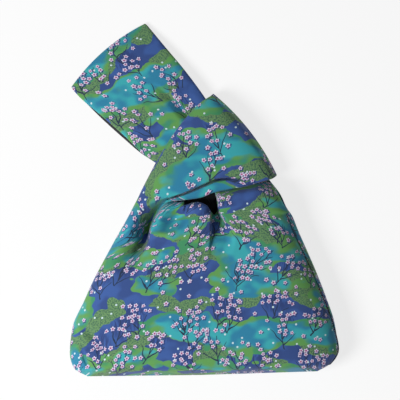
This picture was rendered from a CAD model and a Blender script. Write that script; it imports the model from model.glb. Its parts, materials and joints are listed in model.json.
# %% [markdown]
# # A knot wristlet bag
#
# This bag is two panels of printed cotton with dark plain cotton behind them. Each panel is cut in one
# piece: a wide body, a long half strap and a short half strap. The two panels are sewn together along the
# sides, the bottom and the ends of the straps. The long strap loop is then passed through the short one,
# which closes the mouth. The bag lies on its back. Its shape is drafted in millimetres and made in
# metres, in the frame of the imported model, so the cloth only has to follow the places that the model
# gives.

# %% Tools and the fixed frame
import json

import bpy
import numpy as np
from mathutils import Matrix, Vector

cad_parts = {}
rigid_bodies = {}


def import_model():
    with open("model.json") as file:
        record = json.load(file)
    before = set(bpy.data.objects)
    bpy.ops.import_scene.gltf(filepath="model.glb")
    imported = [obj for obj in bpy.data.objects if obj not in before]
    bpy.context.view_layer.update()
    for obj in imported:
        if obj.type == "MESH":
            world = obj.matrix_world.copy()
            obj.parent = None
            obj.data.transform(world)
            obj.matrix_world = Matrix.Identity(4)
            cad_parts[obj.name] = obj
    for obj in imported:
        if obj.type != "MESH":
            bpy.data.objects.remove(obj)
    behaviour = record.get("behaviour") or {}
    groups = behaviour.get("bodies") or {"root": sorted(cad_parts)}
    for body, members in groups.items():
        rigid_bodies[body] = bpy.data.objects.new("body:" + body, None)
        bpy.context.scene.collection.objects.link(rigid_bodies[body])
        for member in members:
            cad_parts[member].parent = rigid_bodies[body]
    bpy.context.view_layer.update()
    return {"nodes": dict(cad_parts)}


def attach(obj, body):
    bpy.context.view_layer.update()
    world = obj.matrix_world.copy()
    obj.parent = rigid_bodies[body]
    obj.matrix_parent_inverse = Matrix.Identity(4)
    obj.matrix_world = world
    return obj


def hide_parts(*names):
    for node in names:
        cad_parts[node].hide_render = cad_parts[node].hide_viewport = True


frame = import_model()
MM = 0.001
print("the packed model's nodes:", sorted(frame["nodes"]))

# %% [markdown]
# ## The shape of the cloth
#
# A sheet of cloth could be draped by simulation, but this bag is a knot: its folds were pressed in by
# hand, and a simulation would undo them. So the sheet is laid out row by row from short tables, as a
# pattern cutter would draft it, with smooth curves between the rows. The tables are in millimetres, and
# +Z is up from the surface.

# %% Sizes of the body
CLOTH = 1.2  # printed cotton and the dark cotton behind it
SEAM_GAP = 0.3  # between the two panels along their seams
SEAM_HEIGHT = 15.0  # the widest part of the body, where the seams run
CROWN = 41.0  # the highest part of the filled body
CROWN_SLOPE = 0.07  # fall of the crown, per millimetre, toward the knot
CROWN_END = 10.0  # the crown falls from here on
BOTTOM_WALL = 26.0  # the length over which the body rises from its bottom seam
CURL = 17.0  # the width of the rounded border of the back
ROUND_BODY = 2.6  # how square the section of the body is: 2 is an ellipse
ROUND_STRAP = 2.2  # and that of a strap
FULL_ROLL = 46.0  # degrees that the right seam has rolled onto the front beside the neck
DOME_ROUND = 6.0  # how square the front's section is where it leaves a seam rolled that far
DOME_START = 1.3  # and how gently it leaves it
DOME_FADE = [0.8, 0.5, 0.2]  # the share of this dome in the first rows of the long strap
FACET_ROUND = 1.6  # how square the slope is by which the lobe under the knot runs out to its hem
FACET_FADE = [0, 0, 0.2, 0.5, 0.8, 1, 1, 1, 0.5]  # the share of this slope, row by row of the short strap
LEAST_COSINE = 0.6  # limits how thick steep cloth gets when its thickness is laid on upright

print("the body stands", CROWN, "mm high, on a border", CURL, "mm wide")

# %% The body's rows


def table(columns, *rows):
    """Rows of numbers under named columns, as one array for each column."""
    names = columns.split()
    return {name: np.array([row[k] for row in rows], float) for k, name in enumerate(names)}


# fmt: off
# From the bottom seam up to the foot of the neck slit: places on the left side, the middle line and the
# right side. roll turns the right seam up and over onto the front, in degrees.
BODY = table(
    "left middle right roll",
    ((-93, -61),       (-3, -60),    (91, -57),      0),
    ((-103.5, -54.5),  (-2, -53.4),  (101, -51),     6),
    ((-107, -42),      (-1, -41),    (107.6, -38.5), 14),
    ((-104.8, -22),    (1, -19),     (105, -19),     30),
    ((-95.6, -1),      (3, 2),       (97.8, 3),      38),
    ((-88.4, 15),      (5.5, 22),    (89.6, 24),     42),
    ((-82.2, 27),      (9, 38),      (82.2, 41),     44),
    ((-75.2, 40),      (10.5, 53),   (75.6, 56),     46),
    ((-68.6, 52),      (8.5, 67),    (70.9, 67.5),   46),
)
# fmt: on
print("rows of the body:", len(BODY["roll"]))

# %% The straps' rows on the front
# fmt: off
# The front of the short strap: its two edges, with their heights, the height of its top between them, where
# across the strap that top is, and how far the section bows forward.
FRONT_SHORT = table(
    "outer inner top peak bow",
    ((-66, 56, 18.5),       (6, 71, 27),          36.5,  0.88, -1),
    ((-64.4, 58.6, 19.2),   (2.6, 75.6, 30),      36,    0.86, -2),
    ((-63.4, 61, 19.6),     (-5, 78.4, 30),       35.5,  0.82, -2.5),
    ((-62.2, 63, 19.7),     (-12, 77, 28.5),      34.5,  0.77, -1.5),
    ((-61, 65.2, 19.8),     (-15.2, 76, 27.5),    33.5,  0.72, -1),
    ((-60, 67, 19.9),       (-15.8, 78.6, 26.4),  32,    0.68, -1),
    ((-58.6, 69.6, 20.1),   (-21, 78.3, 25),      30.8,  0.63, -0.5),
    ((-57, 72.8, 20.3),     (-28.4, 78.4, 23.4),  30.2,  0.58, 0),
    ((-53.4, 79.6, 20.8),   (-21.5, 79.2, 25.2),  30.5,  0.55, 1),
    ((-49, 88.4, 21.4),     (-11.4, 80.4, 26.4),  31,    0.55, 0),
    ((-41.6, 102.4, 22),    (-2, 82, 27.4),       31.5,  0.55, 0),
    ((-33.2, 118, 21.3),    (8.2, 86, 27.5),      31.5,  0.5,  0),
    ((-23.4, 133.6, 20.5),  (20, 88.6, 26),       30.5,  0.5,  0),
    ((-12.4, 147.6, 20),    (32.6, 90.8, 26),     30,    0.5,  1),
    ((-2, 158.2, 18.6),     (45.6, 94.6, 25),     28.5,  0.5,  3),
    ((5.4, 163, 15.5),      (54.8, 97.4, 21.5),   24,    0.5,  4.5),
    ((8.2, 165, 8.6),       (58.8, 100.2, 8.6),   8.6,   0.5,  4.6),
)

# The front of the long strap, from the slit, under the short strap, to the strap's end.
FRONT_LONG = table(
    "outer inner top peak bow",
    ((65.8, 73.4, 25.2),   (11.4, 72, 26),        36.2,  0.84, 0),
    ((57.8, 88.6, 19.5),   (10, 82.2, 22.5),      34.2,  0.78, 0),
    ((54.2, 94, 14.5),     (8.4, 87, 18),         21.5,  0.6,  0),
    ((50.5, 97.5, 12),     (-4, 91.6, 13),        15.5,  0.5,  0),
    ((29.6, 123.4, 10),    (-21, 100.4, 13),      16.5,  0.5,  0),
    ((6.4, 154.4, 10.5),   (-37.4, 109.4, 12),    16,    0.5,  0),
    ((-3.8, 168.8, 10.5),  (-49.4, 118, 11),      14.5,  0.5,  0),
    ((-14.6, 183, 9.6),    (-60.4, 129, 10),      12.8,  0.5,  0),
    ((-30.8, 202.4, 7.4),  (-81, 147.4, 8),       10,    0.5,  2.4),
    ((-42.2, 215.4, 4.8),  (-98.6, 162.4, 5),     6,     0.5,  5),
    ((-47, 221.8, 2.7),    (-106.2, 170.8, 2.7),  2.7,   0.5,  5),
)
# fmt: on
print("rows of the short and the long strap:", len(FRONT_SHORT["top"]), len(FRONT_LONG["top"]))

# %% The straps' rows on the back
# fmt: off
# The back of the two straps. top is the height between the edges, and curl is the width of the rounded
# border of the outer edge.
BACK_SHORT = table(
    "outer inner top curl bow",
    ((-61.4, 64.4, 10),   (8.4, 71.4, 0),     0,    18, 0),
    ((-56.6, 73.6, 6),    (7.4, 75.4, 0),     0,    22, 0),
    ((-51, 85.2, 2.5),    (6.4, 80, 0),       0,    26, 0),
    ((-43, 100.2, 0.6),   (7.4, 84.4, 0),     0,    30, 0),
    ((-30.4, 123.4, 0),   (18, 87.6, 0),      0,    36, 0),
    ((-16.6, 142.4, 0),   (33, 91.6, 0),      0,    40, 0),
    ((-1.6, 157.8, 0.4),  (46.4, 95.4, 0.6),  0.4,  40, 3),
    ((5.4, 162.8, 3),     (55, 97.8, 3),      3,    40, 4.5),
    ((8.2, 165, 8.6),     (58.8, 100.2, 8.6), 8.6,  40, 4.6),
)
BACK_LONG = table(
    "outer inner top curl bow",
    ((66.4, 74, 17),      (8.8, 71.6, 1.2),    0.6,  18, 0),
    ((61.8, 84, 15),      (4.6, 79.6, 2.8),    2.8,  22, 0),
    ((51.4, 98, 8),       (-3, 88, 3.4),       3.6,  26, 0),
    ((30.6, 124.6, 3.6),  (-21, 100.4, 3.4),   4,    30, 0),
    ((6.4, 154.4, 4.8),   (-37.4, 110, 3.4),   4.2,  34, 0),
    ((-6, 171.2, 3),      (-50.6, 118.6, 1),   1.8,  36, 0),
    ((-14.6, 183, 0),     (-61.4, 127.8, 0),   0,    38, 0),
    ((-30.8, 202.4, 0),   (-81.8, 146.2, 0),   0,    40, 2.4),
    ((-47, 221.8, 0),     (-106.2, 170.8, 0),  0,    40, 5),
)
# fmt: on
print("the same on the back:", len(BACK_SHORT["top"]), len(BACK_LONG["top"]))

# %% Smooth runs between the rows


def rise(share, roundness, start=None):
    """The rounded rise of a section from an edge, at 0, to its top, at 1. A low start rises gently."""
    return (1 - (1 - np.clip(share, 0, 1)) ** roundness) ** (1 / (roundness if start is None else start))


def mix(a, b, share):
    """The value at a share of the way from a to b."""
    return a + (b - a) * share


def through(rows, places):
    """A smooth run through rows of numbers that never swings past a row. places count rows."""
    gains = np.diff(rows, axis=0)
    product = gains[:-1] * gains[1:]
    total = gains[:-1] + gains[1:]
    inside = np.where(product > 0, 2 * product / np.where(total == 0, 1, total), 0)
    speeds = np.vstack([gains[:1], inside, gains[-1:]])
    first = np.minimum(places.astype(int), len(rows) - 2)
    t = (places - first)[:, None]
    speed, next_speed, gain = speeds[first], speeds[first + 1], gains[first]
    bend = 3 * gain - 2 * speed - next_speed
    return rows[first] + t * (speed + t * (bend + t * (speed + next_speed - 2 * gain)))


def crown_of(body):
    """The height of the body's middle line on the front."""
    above = body["middle"][:, 1] - body["middle"][0, 1]
    wall = mix(SEAM_HEIGHT, CROWN, rise(above / BOTTOM_WALL, ROUND_BODY))
    return wall - np.maximum(0, body["middle"][:, 1] - CROWN_END) * CROWN_SLOPE


def underside_of(body):
    """The height of the body's middle line on the back."""
    above = body["middle"][:, 1] - body["middle"][0, 1]
    return SEAM_HEIGHT * (1 - rise(above / CURL, ROUND_STRAP))


print("the crown falls from", round(crown_of(BODY).max(), 1), "to", round(crown_of(BODY)[-1], 1), "mm")

# %% All rows of one half
# A half's body and strap become one array, with these columns. ACROSS is the peak on the front and the curl
# on the back, ROW is the row's own number, and DOME and FACET say how much of either shape the row has.
OUTER, INNER = slice(0, 2), slice(3, 5)
OUTER_Z, INNER_Z = 2, 5
TOP, ACROSS, BOW, ROLL, ROUND, ROW, DOME, FACET = range(6, 14)


def half_rows(side, strap, height, across, body_across):
    """All rows of one half of a panel, from the bottom seam to the strap's end. across names the column of
    the strap's table that is its ACROSS, and body_across is the body's value there."""
    flat, plain = np.zeros(len(BODY["roll"])), np.zeros(len(strap["top"]))
    roll = BODY["roll"] if side == "right" else flat
    body = [BODY[side], flat + SEAM_HEIGHT, BODY["middle"], height, height]
    body += [flat + body_across, flat, roll, flat + ROUND_BODY]
    loop = [strap["outer"], strap["inner"], strap["top"]]
    loop += [strap[across], strap["bow"], plain, plain + ROUND_STRAP]
    rows = np.vstack([np.column_stack(body), np.column_stack(loop)])
    dome, facet, start = np.zeros(len(rows)), np.zeros(len(rows)), len(flat)
    if side == "right":
        dome[:start] = roll / FULL_ROLL
        dome[start : start + len(DOME_FADE)] = DOME_FADE
    elif across == "peak":
        facet[start : start + len(FACET_FADE)] = FACET_FADE
    return np.column_stack([rows, np.arange(len(rows)), dome, facet])


BODY_END = len(BODY["roll"]) - 1
FRONT_ROWS = {
    "left": half_rows("left", FRONT_SHORT, crown_of(BODY), "peak", 1.0),
    "right": half_rows("right", FRONT_LONG, crown_of(BODY), "peak", 1.0),
}
BACK_ROWS = {
    "left": half_rows("left", BACK_SHORT, underside_of(BODY), "curl", CURL),
    "right": half_rows("right", BACK_LONG, underside_of(BODY), "curl", CURL),
}
print("rows and columns of the front's halves:", FRONT_ROWS["left"].shape, FRONT_ROWS["right"].shape)

# %% Points on the front and on the back


def plan_points(rows, share, side):
    """Places in plan between the two edges of each row, bent forward along the strap."""
    outer, inner = rows[:, None, OUTER], rows[:, None, INNER]
    step = inner - outer
    forward = (1 if side == "left" else -1) / np.linalg.norm(step, axis=2)
    bend = 4 * rows[:, None, BOW] * share * (1 - share) * forward
    turned = np.stack([-step[..., 1], step[..., 0]], axis=2)
    return outer + step * share[..., None] + turned * bend[..., None]


def width_of(rows):
    """How far apart the two edges of each row are, in plan."""
    return np.linalg.norm(rows[:, INNER] - rows[:, OUTER], axis=1)[:, None]


def front_points(rows, share, side):
    """The front at a share of the way across each row, from the outer edge at 0."""
    outer_z, inner_z, top, peak = (rows[:, None, k] for k in (OUTER_Z, INNER_Z, TOP, ACROSS))
    angle, roundness = np.radians(rows[:, None, ROLL]), rows[:, None, ROUND]
    inset = CURL * (1 - np.cos(angle)) / width_of(rows)
    plan = plan_points(rows, mix(inset, 1, share), side)
    dome = rows[:, None, DOME]
    start = mix(roundness, DOME_START, dome)
    roundness = mix(roundness, DOME_ROUND, dome)
    beyond = share > peak
    facet = rows[:, None, FACET] * beyond
    roundness, start = mix(roundness, FACET_ROUND, facet), mix(start, FACET_ROUND, facet)
    edge = np.where(beyond, inner_z, outer_z + SEAM_HEIGHT * np.sin(angle))
    from_edge = np.where(beyond, (1 - share) / np.maximum(1 - peak, 1e-6), share / peak)
    return np.dstack([plan, mix(edge, top, rise(from_edge, roundness, start))])


def back_points(rows, share, side):
    """The back at a share of the way across each row: half of it is the rounded border."""
    outer_z, inner_z, top, curl = (rows[:, None, k] for k in (OUTER_Z, INNER_Z, TOP, ACROSS))
    width = width_of(rows)
    angle = np.radians(mix(rows[:, None, ROLL], -90, np.clip(2 * share, 0, 1)))
    flat = np.clip(2 * share - 1, 0, 1)
    curled = curl / width * (1 - np.cos(angle))
    plan = plan_points(rows, np.where(flat > 0, mix(curl / width, 1, flat), curled), side)
    height = np.where(flat > 0, mix(top, inner_z, flat), top + (outer_z - top) * (1 + np.sin(angle)))
    return np.dstack([plan, np.maximum(0, height)])


seam = front_points(FRONT_ROWS["left"][:1], np.array([[0.0, 1.0]]), "left")[0]
print("the left half's bottom seam, from its outer end:", seam.round(1).tolist())

# %% [markdown]
# ## Folds
#
# A fold is a line of places, each with a depth and with how far the cloth comes down on its left and its
# right, as the line is walked. sharp is 0 for a soft trough and 1 for a pressed crease, and a negative
# depth is a ridge. Only the height changes, so a fold stays where its table puts it.

# %% How a fold's table is drawn
FOLD_STEPS = 6  # a fold's line is drawn this many times as fine as its table


def fold(*rows):
    """A fold's rows of place, depth, left, right and sharp, drawn as a smooth line."""
    coarse = table("at depth left right sharp", *rows)
    places = np.linspace(0, len(rows) - 1, FOLD_STEPS * (len(rows) - 1) + 1)
    fine = {name: through(values.reshape(len(rows), -1), places) for name, values in coarse.items()}
    return {name: values if name == "at" else values[:, 0] for name, values in fine.items()}


# %% Folds below the mouth
# fmt: off
#   at               depth left right sharp
# The gathered cloth of the front, from the slit down, is a channel between a steep bank and a gentle one.
PLEAT_BANK = fold(
    ((6.2, 30),      0,    3,   4,    0),
    ((6.6, 42),      2.2,  2.6, 8,    0),
    ((7, 50),        5.6,  2.2, 10,   0),
    ((7.2, 57),      9.6,  2,   9,    0),
    ((7.2, 63),      13,   2,   7,    0),
    ((7.2, 67),      15,   2,   5,    0),
    ((7.2, 73),      15,   2,   3.2,  0),
)
PLEAT_SLOPE = fold(
    ((10, 30),       0,    4,   8,    0),
    ((14.6, 42),     2.2,  8,   10,   0),
    ((17, 50),       5.6,  10,  9,    0),
    ((16.2, 57),     9.6,  9,   7,    0),
    ((14.2, 63),     13,   7,   4.4,  0),
    ((12.2, 67),     15,   5,   3,    0),
    ((10.4, 73),     15,   3.2, 2,    0),
)
# fmt: on
print("the pleat is at most", PLEAT_BANK["depth"].max().round(1), "mm deep")

# %% Folds at the left shoulder
# fmt: off
#   at               depth left right sharp
# From under the left of the body up to the knot's left end, with a steep bank beside the lobe.
SHOULDER_FOLD = fold(
    ((-70, 25),      0,    9,   10,   0),
    ((-59.6, 33),    7,    13,  8,    0.1),
    ((-53, 38.6),    13,   15,  6,    0.2),
    ((-48, 43.6),    17,   16,  4.4,  0.3),
    ((-45.2, 49),    20,   16,  3.2,  0.4),
    ((-44.2, 55),    21,   16,  2.8,  0.4),
    ((-42.2, 62),    20.6, 15,  2.8,  0.4),
    ((-39.2, 67.6),  18.6, 12,  2.8,  0.4),
    ((-35.8, 72.6),  15,   8,   2.6,  0.4),
    ((-31.8, 77),    10,   4,   2.4,  0.4),
    ((-28, 80.8),    6,    2,   2.4,  0.4),
)
# The lobe leans over the bottom of that fold, which is a narrow dark slot there.
SHOULDER_SLOT = fold(
    ((-56.2, 38),    0,    4,   3,    0),
    ((-50.6, 42.2),  4,    6,   2.6,  0),
    ((-46.8, 47),    7.4,  7,   1.8,  0),
    ((-45, 52),      8.8,  7.4, 1.6,  0),
    ((-43.8, 57),    9,    7.4, 1.6,  0),
    ((-42, 62.4),    9,    7,   1.6,  0),
    ((-39, 68),      8,    5.6, 1.6,  0),
    ((-35.2, 73.4),  5.6,  4,   1.6,  0),
    ((-31, 78),      0,    2,   1.6,  0),
)
# fmt: on
print("the shoulder's fold is at most", SHOULDER_FOLD["depth"].max().round(1), "mm deep")

# %% Folds at the knot
# fmt: off
#   at               depth left right sharp
# The crease that the short strap folds over, above its rolled hem.
KNOT_CREASE = fold(
    ((-30.4, 80),    0,    0.6, 1.2,  0),
    ((-26.4, 81.8),  8,    0.6, 1.5,  0),
    ((-17.2, 84.8),  14,   0.6, 1.8,  0),
    ((-5, 90),       15,   0.6, 2.2,  0),
    ((3, 93.6),      15,   0.6, 2.4,  0),
    ((10.4, 96.6),   14,   0.6, 2.4,  0),
    ((17, 97.4),     10,   0.6, 2.2,  0),
    ((24.4, 98),     4.4,  0.8, 3,    0),
    ((28.4, 99.4),   1.6,  1.4, 4,    0),
    ((32, 101.6),    0,    2,   5,    0),
)
# A dark pocket under the hem, where the lobe's edge dips.
POCKET = fold(
    ((-14.8, 76.2),  2,    0.8, 1.2,  0),
    ((-12.8, 77.4),  8,    2,   1.6,  0),
    ((-9.6, 79),     9,    5,   1.8,  0),
    ((-5.6, 80.4),   4,    6,   1.6,  0),
    ((-2, 81),       0,    6,   1.6,  0),
)
# fmt: on
print("the knot's crease is at most", KNOT_CREASE["depth"].max().round(1), "mm deep")

# %% Folds of the lobe below the knot
# fmt: off
#   at               depth left right sharp
# A small fold of the lobe that ends in a step under the hem.
LOBE_STEP = fold(
    ((-15.4, 79.6),  -1.2, 0.8, 8,    0),
    ((-15.4, 75.4),  -2.2, 0.8, 9,    0),
    ((-15.8, 71.8),  -1.8, 1,   9,    0),
    ((-18.6, 67.6),  0,    2,   7,    0),
)
# The crest under the lobe's hollow.
LOBE_CREST = fold(
    ((-40.4, 54),    0,    4,   6,    0),
    ((-35, 53.2),    -1.8, 3.4, 7,    0.3),
    ((-27, 53),      -1.8, 3.4, 8,    0.3),
    ((-15, 55),      0,    5,   8,    0),
)
# fmt: on
print("the lobe's crest is at most", -LOBE_CREST["depth"].min().round(1), "mm high")

# %% Folds in the corner and across the long strap
# fmt: off
#   at               depth left right sharp
# A soft fold of the front above the corner.
CORNER_FOLD = fold(
    ((-97.4, -16.4), 0,    1.5, 7,    0.3),
    ((-92.6, -22),   3.2,  1.5, 8,    0.5),
    ((-86.4, -28.6), 5.2,  1.5, 9,    0.5),
    ((-80.6, -35.4), 4.4,  1.5, 9,    0.5),
    ((-76, -43),     0,    2,   8,    0.2),
)
# Two small folds in the corner, where the boxed bottom is tucked in.
EAR_FOLD = fold(
    ((-102, -35.4),  0,    4,   2,    0),
    ((-97, -36.6),   2,    4,   2.2,  0.2),
    ((-90.6, -37.4), 2.6,  4,   2.2,  0.2),
    ((-83.4, -38),   0,    4,   2,    0),
)
EAR_PLEAT = fold(
    ((-96.6, -38),   0,    3,   2.4,  0.2),
    ((-96, -42),     2.6,  3,   2.4,  0.4),
    ((-94.4, -46.6), 3,    3,   2.4,  0.4),
    ((-92.6, -51),   2,    3,   2.4,  0.3),
    ((-91.4, -55),   0,    2,   2,    0.2),
)
# The fold across the band of the long strap.
STRAP_FOLD = fold(
    ((-9, 144),      4.6,  8,   2.4,  0.3),
    ((-18.4, 154.4), 4.4,  8,   2.4,  0.4),
    ((-29.4, 165.4), 2.4,  8,   2.6,  0.3),
    ((-42, 173),     0,    8,   3,    0),
)
# fmt: on
print("places along the fold of the long strap:", len(STRAP_FOLD["at"]))

# %% Hollows, and the rows that each fold reaches
# A hollow is broad and round: a centre, half lengths, the turn of the first of them in degrees, and a
# depth. The short strap turns back over itself at row PIVOT, so a fold also says which rows it reaches.
LOBE_HOLLOW = dict(at=(-22, 65), half=(17, 10), turn=32, depth=8)
STRAP_HOLLOW = dict(at=(-10, 155), half=(14, 10), turn=130, depth=1.5)
HOLLOWS = {"left": [LOBE_HOLLOW], "right": [STRAP_HOLLOW]}
PIVOT = 16.0
PAST_END = 99  # more rows than any half has
UNDER, OVER, ALL = (0, PIVOT), (PIVOT, PAST_END), (0, PAST_END)
LOWER_FOLDS = [PLEAT_BANK, PLEAT_SLOPE, POCKET, LOBE_STEP, LOBE_CREST, CORNER_FOLD, EAR_FOLD, EAR_PLEAT]
FOLDS = {
    "left": [(SHOULDER_FOLD, ALL), (SHOULDER_SLOT, UNDER), (KNOT_CREASE, OVER)],
    "right": [(PLEAT_BANK, ALL), (PLEAT_SLOPE, ALL), (STRAP_FOLD, ALL)],
}
FOLDS["left"] += [(each, UNDER) for each in LOWER_FOLDS]
print("folds on the left and the right half:", len(FOLDS["left"]), len(FOLDS["right"]))

# %% Pressing folds into points
CREASE_POWER = 1.7  # how sharply the sides of a pressed crease meet: 1 is a straight fall


def fold_depth(line, points):
    """How deep a fold is at each point: all its depth on its line, and none at the end of its spread."""
    nearest = np.full(points.shape[:-1], np.inf)
    depth = np.zeros(points.shape[:-1])
    for k in range(len(line["depth"]) - 1):
        start, step = line["at"][k], line["at"][k + 1] - line["at"][k]
        off = points[..., :2] - start
        along = np.clip(off @ step / (step @ step), 0, 1)
        distance = np.linalg.norm(off - along[..., None] * step, axis=-1)
        on_left = step[0] * off[..., 1] - step[1] * off[..., 0] > 0
        here = {name: mix(*line[name][k : k + 2], along) for name in ("depth", "left", "right", "sharp")}
        share = np.clip(distance / np.where(on_left, here["left"], here["right"]), 0, 1)
        soft = (1 - share) ** 2 * (1 + 2 * share)
        pressed = (1 - share) ** CREASE_POWER
        nearer = distance < nearest
        depth = np.where(nearer, here["depth"] * mix(soft, pressed, here["sharp"]), depth)
        nearest = np.where(nearer, distance, nearest)
    return depth


def hollow_depth(hollow, points):
    """How deep a hollow is at each point: it is round at its middle and fades out at its half lengths."""
    turn = np.radians(hollow["turn"])
    off = points[..., :2] - hollow["at"]
    along = off @ [np.cos(turn), np.sin(turn)] / hollow["half"][0]
    across = off @ [-np.sin(turn), np.cos(turn)] / hollow["half"][1]
    return hollow["depth"] * np.maximum(0, 1 - along**2 - across**2) ** 2


def front_surface(rows, share, side):
    """The front with its folds pressed in. Its outer edge stays where it is sewn."""
    points = front_points(rows, share, side)
    depth = sum(hollow_depth(hollow, points) for hollow in HOLLOWS[side])
    for line, (first, last) in FOLDS[side]:
        reached = np.clip(np.minimum(rows[:, ROW] - first, last - rows[:, ROW]) + 1, 0, 1)
        depth = depth + fold_depth(line, points) * reached[:, None]
    depth[:, 0] = 0
    points[..., 2] -= depth
    return points


slit_foot = front_surface(FRONT_ROWS["left"][BODY_END : BODY_END + 1], np.array([[0.0, 1.0]]), "left")[0, 1]
print("the foot of the slit lies", slit_foot[2].round(1), "mm high")

# %% [markdown]
# ## One sheet, cut to a size
#
# Each half of a panel becomes a grid. Its rows follow each other along the cloth, closest where it folds
# most, and its columns split each row into equal widths, folds included. The same lengths give each point
# its place in the flat cut, where the print is laid out, as a mill prints cloth before it is sewn.
#
# The body is laid flat from its middle line outward. The left strap winds about the knot, so it is rolled
# out row by row. The right strap is gathered there, so it gets its own width, which is wider than it
# lies.

# %% Lengths along and across the cloth
DENSE = 24  # samples between rows of a table while lengths are measured
DENSE_ACROSS = 240  # samples across a row while its width is split
LINES_ALONG = 9  # lines along the cloth whose mean length sets the steps between rows


def unit(vectors):
    """The same directions, one long."""
    return vectors / np.maximum(np.linalg.norm(vectors, axis=-1, keepdims=True), 1e-12)


def length_marks(points, axis):
    """The length walked along an axis of a grid of points, at each of them."""
    steps = np.linalg.norm(np.diff(points, axis=axis), axis=2)
    start = np.zeros_like(np.take(steps, [0], axis=axis))
    return np.concatenate([start, np.cumsum(steps, axis=axis)], axis=axis)


def cut_rows(rows, surface, side, first, last, fineness):
    """Places between two rows of a table. fineness has pairs of a place and the length of a step there."""
    dense = np.linspace(first, last, int((last - first) * DENSE) + 1)
    shares = np.tile(np.linspace(0, 1, LINES_ALONG), (len(dense), 1))
    points = surface(through(rows, dense), shares, side)
    steps = np.linalg.norm(np.diff(points, axis=0), axis=2).mean(axis=1)
    wanted = np.interp(dense[1:], *np.transpose(fineness))
    along = np.concatenate([[0], np.cumsum(steps / wanted)])
    return np.interp(np.linspace(0, along[-1], int(np.ceil(along[-1])) + 1), along, dense)


def even_shares(row_set, surface, side, columns):
    """For each row, the shares across it that cut its cloth into equal widths."""
    dense = np.linspace(0, 1, DENSE_ACROSS)
    points = surface(row_set, np.tile(dense, (len(row_set), 1)), side)
    targets = np.linspace(0, 1, columns + 1)
    return np.array([np.interp(targets * run[-1], run, dense) for run in length_marks(points, 1)])


for step in (1, 2):
    places = cut_rows(FRONT_ROWS["left"], front_surface, "left", 0, BODY_END, [(0, step)])
    print("rows of the body in steps of", step, "mm:", len(places))

# %% The flat cut
STRAP_WIDTH = 79.0  # a half strap as it is cut
SHOULDER_ROWS = 4.0  # the body narrows to its straps over so many rows


def heading(turn):
    """The direction in plan of each turn."""
    return np.stack([np.cos(turn), np.sin(turn)], axis=1)


def edge_walk(points):
    """How the outer edge goes on from row to row: how far it slips along its row, and how far it climbs."""
    chord = unit(points[:, -1, :2] - points[:, 0, :2])
    step = np.diff(points[:, 0], axis=0)
    slip = (step[:, :2] * chord[:-1]).sum(axis=1)
    climb = np.sqrt(np.maximum(0, (step**2).sum(axis=1) - slip**2))
    return slip, climb, np.unwrap(np.arctan2(chord[:, 1], chord[:, 0]))


def rolled_out(points, corner, turn):
    """A strap that winds about the knot, laid out flat row by row from a first corner and turn."""
    slip, climb, angle = edge_walk(points)
    turn = turn + angle - angle[0]
    moves = slip[:, None] * heading(turn[:-1]) + climb[:, None] * heading(turn[:-1] + np.pi / 2)
    corners = corner + np.vstack([[0, 0], np.cumsum(moves, axis=0)])
    return corners[:, None] + length_marks(points, 1)[..., None] * heading(turn)[:, None]


def gathered(points, places, corner, neck):
    """A strap that is gathered, so that its cut is wider than it lies."""
    across, along = length_marks(points, 1), length_marks(points, 0)
    share = across / across[:, -1:]
    past = np.clip((places - BODY_END) / SHOULDER_ROWS, 0, 1)
    width = mix(across[0, -1], STRAP_WIDTH, past * past * (3 - 2 * past))
    return np.dstack([(1 - share) * width[:, None], mix(corner[1], neck[1], share) + along])


def cut_places(points, side, places):
    """The place of each point in the flat cut: u from the middle line, and v up from the bottom seam."""
    end = int(np.sum(places < BODY_END + 1e-6)) - 1
    body, strap = points[: end + 1], points[end:]
    across, middle = length_marks(body, 1), length_marks(body[:, -1:], 0)[:, 0]
    climbed = np.concatenate([[0], np.cumsum(edge_walk(body)[1])])
    lean = body[end, -1, 1] - body[end, 0, 1]
    outer = middle[end] - lean - (climbed[end] - climbed)
    tilt = np.arcsin((middle - outer) / across[:, -1])
    ways = heading(tilt) * [1 if side == "left" else -1, 1]
    on_middle = np.stack([np.zeros(end + 1), middle], axis=1)
    cut = on_middle[:, None] + (across - across[:, -1:])[..., None] * ways[:, None]
    if side == "left":
        strap_cut = rolled_out(strap, cut[end, 0], tilt[end])
    else:
        strap_cut = gathered(strap, places[end:], cut[end, 0], cut[end, -1])
    return np.concatenate([cut, strap_cut[1:]])


print("a half strap is cut", STRAP_WIDTH, "mm wide where it is gathered")

# %% Both halves of a panel


def cut_halves(rows, surface, columns, body_steps, strap_steps):
    """Both halves of a panel, as grids of points with their places in the flat cut, and how many rows of
    either grid are the body's, which they share."""
    body_places = cut_rows(rows["left"], surface, "left", 0, BODY_END, body_steps)
    halves = {}
    for side in ("left", "right"):
        strap_places = cut_rows(rows[side], surface, side, BODY_END, len(rows[side]) - 1, strap_steps[side])
        places = np.concatenate([body_places, strap_places[1:]])
        row_set = through(rows[side], places)
        points = surface(row_set, even_shares(row_set, surface, side, columns[side]), side)
        halves[side] = points, cut_places(points, side, places)
    return halves, len(body_places)


# %% The front's grids
# Steps between rows are pairs of a place and a length there: the cloth is cut finest at the knot.
FRONT_COLUMNS = {"left": 118, "right": 80}
FRONT_BODY_STEPS = [(0, 1.6), (2, 2.2), (5, 2.2), (6, 1.1), (8, 0.85)]
FRONT_STRAP_STEPS = {
    "left": [(8, 0.65), (18, 0.65), (20, 1.5)],
    "right": [(8, 0.9), (10, 1.2), (12, 1.8)],
}
front_halves, front_body = cut_halves(
    FRONT_ROWS, front_surface, FRONT_COLUMNS, FRONT_BODY_STEPS, FRONT_STRAP_STEPS
)
print("front grids:", {side: half[0].shape[:2] for side, half in front_halves.items()})

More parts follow.
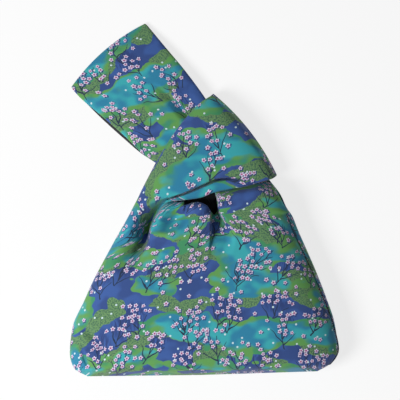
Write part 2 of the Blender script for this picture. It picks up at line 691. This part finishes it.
# %% The back's grids
# The back has no folds, so one step and one number of columns do for all of it.
BACK_STEPS = [(0, 1.8)]
BACK_COLUMNS = 56
columns, strap_steps = dict.fromkeys(BACK_ROWS, BACK_COLUMNS), dict.fromkeys(BACK_ROWS, BACK_STEPS)
back_halves, back_body = cut_halves(BACK_ROWS, back_points, columns, BACK_STEPS, strap_steps)
print("back grids:", {side: half[0].shape[:2] for side, half in back_halves.items()})

# %% [markdown]
# ## From a grid to cloth with two sides
#
# A Solidify modifier would give the sheet its thickness, but in a tight fold its two faces would cross.
# Here the front's thickness is laid on upright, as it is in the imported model. The edge gets a ring of
# points of its own, so that a hem looks turned and not cut, and the inside is a material of its own: the
# dark cotton.

# %% Sewing two half grids into one sheet


def sew_halves(halves, body_rows):
    """Joins both halves along the body's middle line. Gives the points, their places in the flat cut, the
    faces, the way out of the cloth at its edges, and which points are sewn to the other panel."""
    points, cuts, quads, outward, seams = [], [], [], [], []
    middle = None
    for side in ("left", "right"):
        grid, cut = halves[side]
        rows, columns = grid.shape[:2]
        numbers = np.full((rows, columns), -1)
        keep = np.ones((rows, columns), bool)
        if middle is not None:
            numbers[:body_rows, -1] = middle
            keep[:body_rows, -1] = False
        numbers[keep] = np.arange(keep.sum()) + sum(len(p) for p in points)
        middle = numbers[:body_rows, -1]
        away = np.zeros_like(grid)
        away[:, 0] = grid[:, 0] - grid[:, 1]
        away[body_rows:, -1] = grid[body_rows:, -1] - grid[body_rows:, -2]
        away[-1] = grid[-1] - grid[-2]
        sewn = np.zeros((rows, columns), bool)
        sewn[[0, -1]] = True
        sewn[:body_rows, 0] = True
        a, b, c, d = numbers[:-1, :-1], numbers[:-1, 1:], numbers[1:, 1:], numbers[1:, :-1]
        order = (a, b, c, d) if side == "left" else (a, d, c, b)
        quads.append(np.stack(order, axis=2).reshape(-1, 4))
        for whole, own in ((points, grid), (cuts, cut), (outward, away), (seams, sewn)):
            whole.append(own[keep])
    return [np.concatenate(part) for part in (points, cuts, quads, outward, seams)]


front_sheet, back_sheet = sew_halves(front_halves, front_body), sew_halves(back_halves, back_body)
print("points of the front and of the back:", len(front_sheet[0]), len(back_sheet[0]))

# %% The inside and the turned hems
BULGE = 0.45  # how far a turned hem stands out, as a share of the cloth's thickness


def facing(points, quads):
    """The direction that each face looks in, twice as long as the face is large."""
    p = points[quads]
    return np.cross(p[:, 2] - p[:, 0], p[:, 3] - p[:, 1])


def point_normals(points, quads):
    """The average direction of the faces around each point."""
    normals = np.zeros_like(points)
    for corner in range(4):
        np.add.at(normals, quads[:, corner], facing(points, quads))
    return unit(normals)


def border_edges(quads):
    """The edges that only one face has, in the order in which that face runs."""
    edges = np.stack([quads, np.roll(quads, -1, axis=1)], axis=2).reshape(-1, 2)
    _, first, counts = np.unique(np.sort(edges, axis=1), axis=0, return_index=True, return_counts=True)
    return edges[first[counts == 1]]


def two_sided(points, quads, outward, seams, face):
    """Adds the inside and the hems to a sheet. Gives the points of the outside, the inside and the hems,
    the outside's points that have a hem, and the faces of the outside and of the inside."""
    normals = point_normals(points, quads)
    down = normals.copy()
    if face == "front":
        down = np.zeros_like(points)
        down[:, 2] = 1 / np.maximum(LEAST_COSINE, normals[:, 2])
    down[seams] = unit(outward * [1, 1, 0])[seams]
    outer = points.copy()
    outer[seams, 2] += SEAM_GAP / 2 * (1 if face == "front" else -1)
    inner = outer - down * CLOTH
    ring = (outer + inner) / 2 + unit(outward) * BULGE * CLOTH * ~seams[:, None]
    border = border_edges(quads)
    hem = np.unique(border)
    count = len(points)
    ring_at = np.full(count, -1)
    ring_at[hem] = 2 * count + np.arange(len(hem))
    start, end = border[:, 0], border[:, 1]
    turned = np.column_stack([end, start, ring_at[start], ring_at[end]])
    lining = np.column_stack([ring_at[end], ring_at[start], start + count, end + count])
    faces = np.vstack([quads, turned]), np.vstack([quads[:, ::-1] + count, lining])
    return np.vstack([outer, inner, ring[hem]]), hem, *faces


print("edges at the front's border:", len(border_edges(front_sheet[2])))

# %% The mesh of one panel
FLAT_CUT = "flat_cut"  # the UV map that holds each point's place in the flat cut, in metres


def cloth_piece(name, sheet, face, materials):
    """A closed mesh in metres, printed outside and plain inside. Also gives its flat size and its area."""
    points, cuts, quads, outward, seams = sheet
    if face == "back":
        quads = quads[:, ::-1]
    points, hem, outside, inside = two_sided(points, quads, outward, seams, face)
    faces = np.vstack([outside, inside])
    mesh = bpy.data.meshes.new(name)
    mesh.from_pydata((points * MM).tolist(), [], faces.tolist())
    for material in materials:
        mesh.materials.append(material)
    plain = np.arange(len(faces)) >= len(outside)
    mesh.polygons.foreach_set("material_index", plain.astype(np.int32))
    mesh.polygons.foreach_set("use_smooth", np.ones(len(faces), bool))
    ends = np.zeros(2 * len(mesh.edges), np.int32)
    mesh.edges.foreach_get("vertices", ends)
    sewn = np.concatenate([seams, seams, np.zeros(len(hem), bool)])
    sharp = sewn[ends].reshape(-1, 2).all(axis=1)
    mesh.attributes.new("sharp_edge", "BOOLEAN", "EDGE").data.foreach_set("value", sharp)
    loops = np.zeros(len(mesh.loops), np.int32)
    mesh.loops.foreach_get("vertex_index", loops)
    flat = np.vstack([cuts, cuts, cuts[hem]])[loops] * MM
    mesh.uv_layers.new(name=FLAT_CUT).uv.foreach_set("vector", flat.astype(np.float32).ravel())
    mesh.update()
    piece = bpy.data.objects.new(name, mesh)
    bpy.context.scene.collection.objects.link(piece)
    size = np.ptp(cuts, axis=0) * MM
    area = np.linalg.norm(facing(points * MM, quads), axis=1).sum() / 2
    print(name, "flat size", size.round(3), "m, area", round(area, 4), "square metres, faces", len(faces))
    return piece, size, area


# %% [markdown]
# ## The print
#
# The outside is plain-weave cotton, printed by machine in opaque inks: a royal blue ground, drifting
# clouds in leaf green with turquoise hearts, olive patches stippled with dark dots, thin dark twigs, and
# plum blossom. All of these are traditional motifs. The print could be painted on an image, but drawn in
# nodes it stays sharp at any size, and each motif is laid out by chance: every blossom and every spray of
# twigs has a cell of its own in a Voronoi pattern. All sizes in the print are in millimetres on the flat
# cut.

# %% Inks and the one function that adds a node


def ink(code):
    """An sRGB hex colour as the linear colour that nodes take."""
    parts = np.array([int(code[k : k + 2], 16) for k in (1, 3, 5)]) / 255
    linear = np.where(parts <= 0.04045, parts / 12.92, ((parts + 0.055) / 1.055) ** 2.4)
    return (*linear, 1.0)


def result(node):
    """The first output that a node's settings leave in use."""
    return next(socket for socket in node.outputs if socket.enabled)


def add(tree, kind, inputs=None, **settings):
    """Adds a node with its settings, and sets or links its inputs, each by its name or number."""
    node = tree.nodes.new(kind)
    for name, value in settings.items():
        setattr(node, name, value)
    for name, value in (inputs or {}).items():
        if isinstance(name, int):
            socket = node.inputs[name]
        else:
            socket = next(socket for socket in node.inputs if socket.enabled and socket.name == name)
        if isinstance(value, bpy.types.Node):
            value = result(value)
        if isinstance(value, bpy.types.NodeSocket):
            tree.links.new(value, socket)
        else:
            socket.default_value = value
    return node


WHITE = ink("#ffffff")
BLUE, DEEP_BLUE = ink("#36599c"), ink("#2c4884")
LEAF, YELLOW_LEAF = ink("#3e8f60"), ink("#5e9c51")
TURQUOISE, PALE_TURQUOISE = ink("#2680a4"), ink("#36aab2")
OLIVE, OLIVE_DOT = ink("#68915e"), ink("#3e6650")
NAVY, TWIG = ink("#243b74"), ink("#12263f")
PETAL, PINK_PETAL, HEART, BUD = ink("#e2daf0"), ink("#c29fd2"), ink("#9c3472"), ink("#cfe6ec")
print("the ground's linear colour:", np.round(BLUE, 3))

# %% [markdown]
# A printer lays one ink after another through screens. Each screen here is a mask, or a field with the
# two levels between which the ink comes in: closer levels give a crisper edge. An ink is printed where
# all its screens let it through.

# %% Laying one ink over another
CRISP = 0.008  # the distance between the levels of a crisp edge


def combined(tree, parts, operation):
    """One value made of a row of them, such as their product or the greatest of them."""
    total = parts[0]
    for part in parts[1:]:
        total = add(tree, "ShaderNodeMath", {0: total, 1: part}, operation=operation)
    return total


def printed(tree, under, over, *screens):
    """A colour laid over another one through screens."""
    masks = []
    for screen in screens:
        if isinstance(screen, tuple):
            field, none, full = screen
            levels = {"Value": field, "From Min": none, "From Max": full}
            screen = add(tree, "ShaderNodeMapRange", levels, interpolation_type="SMOOTHSTEP")
        masks.append(screen)
    inks = {"Factor": combined(tree, masks, "MULTIPLY"), "A": under, "B": over}
    return add(tree, "ShaderNodeMix", inks, data_type="RGBA")


print("a crisp edge is", CRISP, "of a field wide")

# %% [markdown]
# A twig is a few strokes. One small group measures how far a place is from a stroke, so that a spray is
# only a short table of strokes.

# %% The group that draws one stroke
TAPER = 0.55  # how much thinner a stroke ends than it starts
STROKE_EDGE = 0.12  # how softly its ink ends


def stroke_group():
    """A node group that is 1 inside one tapered stroke, and 0 away from it."""
    tree = bpy.data.node_groups.new("ink stroke", "ShaderNodeTree")
    for name in ("Place", "Start", "Run"):
        tree.interface.new_socket(name, in_out="INPUT", socket_type="NodeSocketVector")
    tree.interface.new_socket("Half width", in_out="INPUT", socket_type="NodeSocketFloat")
    tree.interface.new_socket("Ink", in_out="OUTPUT", socket_type="NodeSocketFloat")
    given = add(tree, "NodeGroupInput").outputs
    off = add(tree, "ShaderNodeVectorMath", {0: given["Place"], 1: given["Start"]}, operation="SUBTRACT")
    dot = add(tree, "ShaderNodeVectorMath", {0: off, 1: given["Run"]}, operation="DOT_PRODUCT")
    square = add(tree, "ShaderNodeVectorMath", {0: given["Run"], 1: given["Run"]}, operation="DOT_PRODUCT")
    along = add(tree, "ShaderNodeMath", {0: dot, 1: square}, operation="DIVIDE", use_clamp=True)
    step = add(tree, "ShaderNodeVectorMath", {0: given["Run"], "Scale": along}, operation="SCALE")
    rest = add(tree, "ShaderNodeVectorMath", {0: off, 1: step}, operation="SUBTRACT")
    distance = add(tree, "ShaderNodeVectorMath", {0: rest}, operation="LENGTH")
    taper = add(tree, "ShaderNodeMath", {0: along, 1: -TAPER, 2: 1.0}, operation="MULTIPLY_ADD")
    limit = add(tree, "ShaderNodeMath", {0: taper, 1: given["Half width"]}, operation="MULTIPLY")
    inside = add(tree, "ShaderNodeMath", {0: limit, 1: distance}, operation="SUBTRACT")
    edge = {"Value": inside, "From Min": -STROKE_EDGE, "From Max": STROKE_EDGE}
    drawn = add(tree, "ShaderNodeMapRange", edge, interpolation_type="SMOOTHSTEP")
    add(tree, "NodeGroupOutput", {"Ink": drawn})
    return tree


stroke = stroke_group()
print("nodes in the stroke group:", len(stroke.nodes))

# %% Sprays of twigs
# Each stroke of a spray: where it starts and how it runs, with +y the way the twigs grow.
SPRAY = [
    ((0.0, -17.0), (0.8, 8.0)),
    ((0.8, -9.0), (-5.4, 14.5)),
    ((0.8, -9.0), (2.4, 16.0)),
    ((0.6, -12.0), (9.2, 12.0)),
    ((0.3, -14.0), (-9.8, 9.5)),
    ((-2.4, -0.4), (1.6, 8.5)),
]
SPRAY_TOP = (-0.5, 4.0)  # the blossom is thickest about this place
# The two sets of sprays: their spacing and shift, 1 or -1 for which way round, and their lean in radians.
SPRAY_SETS = [(33, (0, 0), 1, 0.1), (39, (57, 91), -1, -0.2)]
SPRAY_SCATTER = 0.75  # 0 is a square grid of sprays, 1 is all chance
LEAN_RANGE = 0.5  # radians that a spray may turn either way
TWIG_HALF_WIDTH = 0.5
DRAWN = 0.8  # the share of the cells that have a spray
NEAR, FAR = 3.0, 14.0  # the blossom thins out between these distances from a spray's top


def nearest_cell(tree, place, spacing, shift, scatter):
    """Motifs are scattered one to a cell. Gives the place about the nearest cell's middle, that middle, and
    the cell's three chances."""
    moved = add(tree, "ShaderNodeVectorMath", {0: place, 1: (*shift, 0)}, operation="ADD")
    cells = {"Vector": moved, "Scale": 1 / spacing, "Randomness": scatter}
    cell = add(tree, "ShaderNodeTexVoronoi", cells, voronoi_dimensions="2D").outputs
    local = add(tree, "ShaderNodeVectorMath", {0: moved, 1: cell["Position"]}, operation="SUBTRACT")
    return local, cell["Position"], add(tree, "ShaderNodeSeparateColor", {0: cell["Color"]}).outputs


def nearest_spray(tree, place, spacing, shift, way, lean):
    """Places about the nearest spray, turned so that it grows along +y, and whether it is drawn."""
    local, _, chance = nearest_cell(tree, place, spacing, shift, SPRAY_SCATTER)
    local = add(tree, "ShaderNodeVectorMath", {0: local, 1: (way, 1, 1)}, operation="MULTIPLY")
    turn = {"Value": chance["Red"], "To Min": lean - LEAN_RANGE, "To Max": lean + LEAN_RANGE}
    spin = {"Vector": local, "Angle": add(tree, "ShaderNodeMapRange", turn)}
    local = add(tree, "ShaderNodeVectorRotate", spin, rotation_type="Z_AXIS")
    return local, add(tree, "ShaderNodeMath", {0: chance["Green"], 1: DRAWN}, operation="LESS_THAN")


def twigs(tree, place, spray_set):
    """A mask of the twigs of one set of sprays."""
    local, drawn = nearest_spray(tree, place, *spray_set)
    strokes = []
    for start, run in SPRAY:
        drawing = {"Place": local, "Start": (*start, 0), "Run": (*run, 0), "Half width": TWIG_HALF_WIDTH}
        strokes.append(add(tree, "ShaderNodeGroup", drawing, node_tree=stroke))
    every = combined(tree, strokes, "MAXIMUM")
    return add(tree, "ShaderNodeMath", {0: every, 1: drawn}, operation="MULTIPLY")


def growth(tree, place):
    """How thickly the blossom grows at a place, from 0 to 1: most about the tops of the sprays."""
    near = []
    for spray_set in SPRAY_SETS:
        local, drawn = nearest_spray(tree, place, *spray_set)
        distance = add(tree, "ShaderNodeVectorMath", {0: local, 1: (*SPRAY_TOP, 0)}, operation="DISTANCE")
        thick = add(tree, "ShaderNodeMapRange", {"Value": distance, "From Min": FAR, "From Max": NEAR})
        near.append(add(tree, "ShaderNodeMath", {0: thick, 1: drawn}, operation="MULTIPLY"))
    return combined(tree, near, "MAXIMUM")


print("a spray is drawn with", len(SPRAY), "strokes, and there are", len(SPRAY_SETS), "sets of sprays")

# %% [markdown]
# A plum blossom is five round petals about a magenta heart, with dark ink printed a little to one side
# behind it. Its petals are nearly white on the other side and shade to pink toward the dark. Its outline
# is a circle whose radius swings out five times around it. Whether a cell has a blossom is asked at the
# cell's middle, so that none is cut in half.

# %% Blossoms
PETALS = 5
PETAL_SWING = 0.52  # how deep the outline goes in between petals, as a share of the blossom's radius
SHADE_SIDE = (-0.6, 0.6)  # the dark ink behind lies this far off
WHITE_SIDE = (-0.5, 0.86)  # toward the whitest petals
MOST = 0.76  # the share of the cells with a blossom where it grows thickest
# Each ink comes in between two levels, which are millimetres inside an outline or shares of the radius.
SHADE_EDGE, PETAL_EDGE = (-0.9, -0.2), (-0.15, 0.2)
WHITE_EDGE, HEART_EDGE = (-1.05, -0.25), (0.55, 0.24)
SHADE_STRENGTH = 0.9
# The two sets of blossoms: their spacing, radius and shift, and the share of them that grows anywhere.
BLOSSOM_SETS = [(4.7, 1.82, (0, 0), 0.03), (8.4, 1.86, (133, 71), 0.11)]
BLOSSOM_SCATTER = 0.8
SMALLEST, LARGEST = 1.15, 0.9  # places are scaled by this, so a larger number is a smaller blossom
FULL_TURN = 6.28  # radians


def petal_reach(tree, local, turn, radius):
    """How far inside a blossom's outline a place is, and how far from its middle."""
    turned = add(tree, "ShaderNodeVectorRotate", {"Vector": local, "Angle": turn}, rotation_type="Z_AXIS")
    axes = add(tree, "ShaderNodeSeparateXYZ", {0: turned}).outputs
    angle = add(tree, "ShaderNodeMath", {0: axes["Y"], 1: axes["X"]}, operation="ARCTAN2")
    swing = add(tree, "ShaderNodeMath", {0: angle, 1: PETALS / 2}, operation="MULTIPLY")
    swing = add(tree, "ShaderNodeMath", {0: swing}, operation="COSINE")
    swing = add(tree, "ShaderNodeMath", {0: swing}, operation="ABSOLUTE")
    reach = {0: swing, 1: PETAL_SWING * radius, 2: (1 - PETAL_SWING) * radius}
    reach = add(tree, "ShaderNodeMath", reach, operation="MULTIPLY_ADD")
    distance = add(tree, "ShaderNodeVectorMath", {0: local}, operation="LENGTH")
    return add(tree, "ShaderNodeMath", {0: reach, 1: distance}, operation="SUBTRACT"), distance


def blossoms(tree, place, under, spacing, radius, shift, singles):
    """Prints a set of blossoms over a colour: dark ink behind, then petals, their white and the hearts."""
    local, middle, chance = nearest_cell(tree, place, spacing, shift, BLOSSOM_SCATTER)
    middle = add(tree, "ShaderNodeVectorMath", {0: middle, 1: (*shift, 0)}, operation="SUBTRACT")
    turn = add(tree, "ShaderNodeMath", {0: chance["Red"], 1: FULL_TURN}, operation="MULTIPLY")
    sizes = {"Value": chance["Blue"], "To Min": SMALLEST, "To Max": LARGEST}
    shrink = add(tree, "ShaderNodeMapRange", sizes)
    local = add(tree, "ShaderNodeVectorMath", {0: local, "Scale": shrink}, operation="SCALE")
    inside, distance = petal_reach(tree, local, turn, radius)
    aside = add(tree, "ShaderNodeVectorMath", {0: local, 1: (*SHADE_SIDE, 0)}, operation="ADD")
    shade, _ = petal_reach(tree, aside, turn, radius)
    toward = add(tree, "ShaderNodeVectorMath", {0: local, 1: (*WHITE_SIDE, 0)}, operation="DOT_PRODUCT")
    limit = {0: growth(tree, middle), 1: MOST - singles, 2: singles}
    limit = add(tree, "ShaderNodeMath", limit, operation="MULTIPLY_ADD")
    wanted = add(tree, "ShaderNodeMath", {0: chance["Green"], 1: limit}, operation="LESS_THAN")
    white = (toward, *(level * radius for level in WHITE_EDGE))
    heart = (distance, *(level * radius for level in HEART_EDGE))
    colour = printed(tree, under, NAVY, (shade, *SHADE_EDGE), wanted, SHADE_STRENGTH)
    colour = printed(tree, colour, PINK_PETAL, (inside, *PETAL_EDGE), wanted)
    colour = printed(tree, colour, PETAL, (inside, *PETAL_EDGE), wanted, white)
    return printed(tree, colour, HEART, heart, wanted)


print("blossoms are about", [round(2 * radius, 1) for _, radius, _, _ in BLOSSOM_SETS], "mm across")

# %% [markdown]
# Clouds are drawn as level lines of soft noise. Alone those would be smooth blobs, so the noise is cut
# back between the middles of Voronoi cells, which scallops the lines as a brush would. A little wavering
# of the place makes the whole look drawn by hand.

# %% Clouds
# Two fields of clouds: a shift, the size of a cloud, the size of its scallops, and how deep they are cut.
OLIVE_PATCHES = ((310, 140), (36, 24), (10, 7), 0.12)
GREEN_CLOUDS = ((40, 12), (52, 23), (14, 9), 0.21)
SCALLOP_SCATTER = 0.85


def mottle(tree, place, size, detail=1.0):
    """Soft noise whose lumps are about as large as size, across and up."""
    scaled = {0: place, 1: (1 / size[0], 1 / size[1], 0)}
    scaled = add(tree, "ShaderNodeVectorMath", scaled, operation="MULTIPLY")
    lumps = {"Vector": scaled, "Scale": 1.0, "Detail": detail}
    return add(tree, "ShaderNodeTexNoise", lumps, noise_dimensions="2D")


def cloud_field(tree, place, shift, size, lobe, scallop):
    """A mottle of clouds as large as size, with scallops as large as lobe and as deep as scallop."""
    moved = add(tree, "ShaderNodeVectorMath", {0: place, 1: (*shift, 0)}, operation="ADD")
    small = {0: moved, 1: (1 / lobe[0], 1 / lobe[1], 0)}
    small = add(tree, "ShaderNodeVectorMath", small, operation="MULTIPLY")
    lobes = {"Vector": small, "Scale": 1.0, "Randomness": SCALLOP_SCATTER}
    lobes = add(tree, "ShaderNodeTexVoronoi", lobes, voronoi_dimensions="2D").outputs
    cut = {0: lobes["Distance"], 1: -scallop, 2: mottle(tree, moved, size, 0.0)}
    return add(tree, "ShaderNodeMath", cut, operation="MULTIPLY_ADD")


print("a green cloud is about", GREEN_CLOUDS[1][0], "mm across and", GREEN_CLOUDS[1][1], "mm up")

# %% [markdown]
# The inks go on from the ground up: the blue with its dark brush strokes, the olive patches, the clouds,
# the twigs, the blossom and the buds. The plain weave is finer than can be seen from here, so it is not
# drawn. What it gives the eye is a matt face, which is a high roughness with a trace of sheen from the
# fibres.

# %% The parts of the print
# The levels of the fields at which their inks come in
CLOUD_EDGE, OLIVE_EDGE = 0.375, 0.5
TURQUOISE_EDGE, TURQUOISE_FULL = 0.67, 0.83
BUD_SPACING, BUD_SCATTER = 8.5, 1.0
BUD_SHARE = 0.3  # the share of the cells that have a bud
BUD_RADIUS, BUD_SOFT = 0.68, 0.255


def ground(tree, place, bent, tone):
    """The blue ground, with dark brush strokes where the blossom is thick, and stippled olive patches."""
    colour = printed(tree, BLUE, DEEP_BLUE, (tone, 0.42, 0.62))
    brush, thick = (mottle(tree, bent, (1.7, 8)), 0.44, 0.54), (growth(tree, place), 0.1, 0.7)
    colour = printed(tree, colour, NAVY, brush, thick)
    patch = cloud_field(tree, bent, *OLIVE_PATCHES)
    stippled = printed(tree, OLIVE, OLIVE_DOT, (mottle(tree, place, (1.2, 1.2), 2.0), 0.42, 0.64))
    return printed(tree, colour, stippled, (patch, OLIVE_EDGE, OLIVE_EDGE + CRISP))


def clouds(tree, place, bent, tone, under):
    """Prints green clouds with turquoise hearts over a colour."""
    cloud = cloud_field(tree, bent, *GREEN_CLOUDS)
    green = printed(tree, LEAF, YELLOW_LEAF, (tone, 0.36, 0.54))
    turquoise = printed(tree, TURQUOISE, PALE_TURQUOISE, (tone, 0.4, 0.62))
    airbrush = {0: mottle(tree, place, (26, 11)), 1: 0.5, 2: cloud}
    airbrush = add(tree, "ShaderNodeMath", airbrush, operation="MULTIPLY_ADD")
    green = printed(tree, green, turquoise, (airbrush, TURQUOISE_EDGE, TURQUOISE_FULL))
    return printed(tree, under, green, (cloud, CLOUD_EDGE, CLOUD_EDGE + CRISP))


def buds(tree, place, under):
    """Prints round pale buds over a colour."""
    local, _, chance = nearest_cell(tree, place, BUD_SPACING, (0, 0), BUD_SCATTER)
    distance = add(tree, "ShaderNodeVectorMath", {0: local}, operation="LENGTH")
    wanted = add(tree, "ShaderNodeMath", {0: chance["Blue"], 1: BUD_SHARE}, operation="LESS_THAN")
    return printed(tree, under, BUD, (distance, BUD_RADIUS + BUD_SOFT, BUD_RADIUS), wanted)


print("a bud is about", 2 * BUD_RADIUS, "mm across")

# %% The two cottons
LAID = (60, -30)  # where on the printed cloth the pattern is laid
WAVER, WAVER_SIZE = 4.0, (11, 11)  # how far the designer's hand wavers, and over what size
NOISE_MIDDLE = (0.5, 0.5, 0.5)  # noise swings about this


def flat_place(tree):
    """The place in the flat cut, in millimetres."""
    flat = add(tree, "ShaderNodeUVMap", uv_map=FLAT_CUT)
    return add(tree, "ShaderNodeVectorMath", {0: flat, "Scale": 1 / MM}, operation="SCALE")


def printed_cotton():
    """Plain-weave cotton, printed in opaque inks: matt, with a trace of sheen from its fibres."""
    material = bpy.data.materials.new("printed cotton poplin")
    material.use_nodes = True
    tree = material.node_tree
    place = add(tree, "ShaderNodeVectorMath", {0: flat_place(tree), 1: (*LAID, 0)}, operation="ADD")
    waver = mottle(tree, place, WAVER_SIZE).outputs["Color"]
    waver = add(tree, "ShaderNodeVectorMath", {0: waver, 1: NOISE_MIDDLE}, operation="SUBTRACT")
    waver = add(tree, "ShaderNodeVectorMath", {0: waver, 1: (WAVER, WAVER, 0)}, operation="MULTIPLY")
    bent = add(tree, "ShaderNodeVectorMath", {0: place, 1: waver}, operation="ADD")
    tone = mottle(tree, place, (18, 14))
    colour = ground(tree, place, bent, tone)
    colour = clouds(tree, place, bent, tone, colour)
    for spray_set in SPRAY_SETS:
        colour = printed(tree, colour, TWIG, twigs(tree, bent, spray_set))
    for blossom_set in BLOSSOM_SETS:
        colour = blossoms(tree, place, colour, *blossom_set)
    colour = buds(tree, place, colour)
    shader = tree.nodes["Principled BSDF"]
    shader.inputs["Roughness"].default_value = 0.85
    shader.inputs["Sheen Weight"].default_value = 0.08
    tree.links.new(result(colour), shader.inputs["Base Color"])
    return material


def dark_cotton():
    """The inside: plain-woven dark cotton, matt and nearly black."""
    material = bpy.data.materials.new("dark cotton")
    material.use_nodes = True
    tree = material.node_tree
    shader = tree.nodes["Principled BSDF"]
    colour = printed(tree, ink("#26282b"), ink("#313438"), mottle(tree, flat_place(tree), (3, 3), 2.0))
    tree.links.new(result(colour), shader.inputs["Base Color"])
    shader.inputs["Roughness"].default_value = 0.9
    return material


cloth = [printed_cotton(), dark_cotton()]
print("nodes in the print:", len(cloth[0].node_tree.nodes))

# %% [markdown]
# ## The two panels
#
# Each panel is a piece of its own, because each is cut and sewn as one. Both lie still: the bag has no
# joints, so they ride on its one body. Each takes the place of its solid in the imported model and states
# its flat size.

# %% Making and declaring the panels
front, front_size, front_area = cloth_piece("front_cloth", front_sheet, "front", cloth)
back, back_size, back_area = cloth_piece("back_cloth", back_sheet, "back", cloth)
for piece, node, size, area in (
    (front, "front_panel", front_size, front_area),
    (back, "back_panel", back_size, back_area),
):
    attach(piece, "root")
    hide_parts(node)

# %% [markdown]
# ## Light, floor and camera
#
# The bag lies on white paper, lit by one soft lamp from the lower left. Real paper under it would have to
# be lit until it is white, which would wash out the bag. So the paper and the room are seen as white by
# the camera and in reflections, and light the bag only a little.

# %% Floor
PAPER_GLOW = 0.78  # the share of the paper that is seen as plain white, so that the shadow stays faint
FLOOR_HALF = 3  # metres


def seen_rays(tree):
    """1 for the rays that see the backdrop: from the camera, in a gloss or through something clear."""
    rays = add(tree, "ShaderNodeLightPath").outputs
    kinds = [rays[f"Is {kind} Ray"] for kind in ("Camera", "Glossy", "Transmission")]
    return combined(tree, kinds, "MAXIMUM")


def white_paper():
    """Matt white paper, with its own light added for the rays that see it."""
    material = bpy.data.materials.new("white paper")
    material.use_nodes = True
    tree = material.node_tree
    shader = tree.nodes["Principled BSDF"]
    shader.inputs["Base Color"].default_value = WHITE
    shader.inputs["Roughness"].default_value = 0.9
    shader.inputs["Specular IOR Level"].default_value = 0.0
    share = add(tree, "ShaderNodeMath", {0: seen_rays(tree), 1: PAPER_GLOW}, operation="MULTIPLY")
    glow = add(tree, "ShaderNodeEmission", {"Color": WHITE, "Strength": 1.0})
    mixed = add(tree, "ShaderNodeMixShader", {0: share, 1: shader, 2: glow})
    tree.links.new(result(mixed), tree.nodes["Material Output"].inputs["Surface"])
    return material


corners = [(x * FLOOR_HALF, y * FLOOR_HALF, -MM / 2) for x, y in ((-1, -1), (1, -1), (1, 1), (-1, 1))]
floor_mesh = bpy.data.meshes.new("floor")
floor_mesh.from_pydata(corners, [], [(0, 1, 2, 3)])
floor_mesh.materials.append(white_paper())
floor = bpy.data.objects.new("floor", floor_mesh)
bpy.context.scene.collection.objects.link(floor)
print("the floor lies at", corners[0][2], "m")

# %% Lights
SKY_LIGHT = 0.11  # the room is seen as white, and lights the bag only this much
BAG_MIDDLE = (0, 0.08, 0)
world = bpy.data.worlds.new("studio")
world.use_nodes = True
room = world.node_tree
sky = room.nodes["Background"]
sky.inputs["Color"].default_value = WHITE
strength = add(room, "ShaderNodeMath", {0: seen_rays(room), 1: SKY_LIGHT}, operation="MAXIMUM")
room.links.new(result(strength), sky.inputs["Strength"])
bpy.context.scene.world = world

lamp = bpy.data.lights.new("key light", "AREA")
lamp.energy = 16.2  # watts
lamp.size = 0.5  # metres
key_light = bpy.data.objects.new("key light", lamp)
key_light.location = (-0.75, -0.26, 1.0)
toward_bag = Vector(BAG_MIDDLE) - key_light.location
key_light.rotation_euler = toward_bag.to_track_quat("-Z", "Y").to_euler()
bpy.context.scene.collection.objects.link(key_light)
print("the lamp hangs", round(toward_bag.length, 2), "m from the bag")

# %% Camera
CAMERA_PLACE = (-0.0028, 0.08)  # straight above the middle of the bag
CAMERA_HEIGHT = 2.5  # metres, so far that the bag's sides don't lean apart
FRAMED = 0.32  # the width that the camera takes in, at the height of the seams
camera = bpy.data.cameras.new("camera")
camera.sensor_width = 36
camera.lens = camera.sensor_width * (CAMERA_HEIGHT - SEAM_HEIGHT * MM) / FRAMED
camera_object = bpy.data.objects.new("camera", camera)
camera_object.location = (*CAMERA_PLACE, CAMERA_HEIGHT)
bpy.context.scene.collection.objects.link(camera_object)
bpy.context.scene.camera = camera_object
bpy.context.scene.view_settings.view_transform = "Standard"
print("the lens is", round(camera.lens, 1), "mm")
